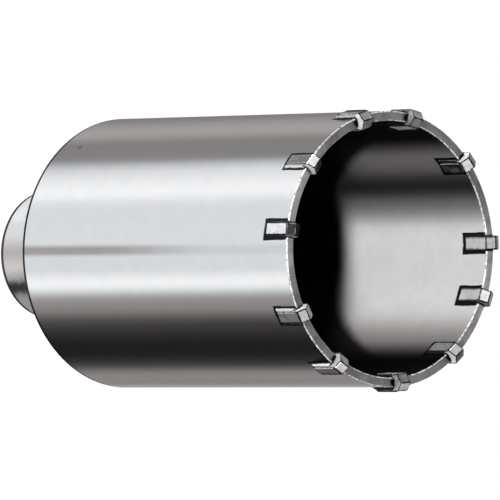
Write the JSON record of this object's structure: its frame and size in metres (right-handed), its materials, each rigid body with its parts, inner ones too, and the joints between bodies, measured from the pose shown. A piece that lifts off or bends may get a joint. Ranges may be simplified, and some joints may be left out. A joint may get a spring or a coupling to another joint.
{
  "type": "carbide-tipped core bit",
  "caption": "Cup-shaped core bit: a satin steel barrel with roof-ground carbide tips brazed into its rim and a threaded hub at its back.",
  "frame": {"origin": "centre of the hub's back face, on the bit's axis", "axes": "+Z along the bit's axis, from the hub towards the cutting end; +X towards the first tip, less 4 degrees"},
  "size_m": [0.0673, 0.0678, 0.1301],
  "materials": {
    "barrel_steel": "satin, drawn along the axis",
    "hub_steel": "satin, turned",
    "weld_metal": "rippled",
    "carbide": "ground",
    "braze": "dark, oxidised"
  },
  "bodies": {
    "root": {"barrel": "barrel_steel", "hub": "hub_steel", "hub_weld": "weld_metal", "carbide_tip_01": "carbide", "carbide_tip_02": "carbide", "carbide_tip_03": "carbide", "carbide_tip_04": "carbide", "carbide_tip_05": "carbide", "carbide_tip_06": "carbide", "carbide_tip_07": "carbide", "carbide_tip_08": "carbide", "carbide_tip_09": "carbide", "carbide_tip_10": "carbide", "carbide_tip_11": "carbide", "braze_seam_01": "braze", "braze_seam_02": "braze", "braze_seam_03": "braze", "braze_seam_04": "braze", "braze_seam_05": "braze", "braze_seam_06": "braze", "braze_seam_07": "braze", "braze_seam_08": "braze", "braze_seam_09": "braze", "braze_seam_10": "braze", "braze_seam_11": "braze"}
  },
  "joints": []
}
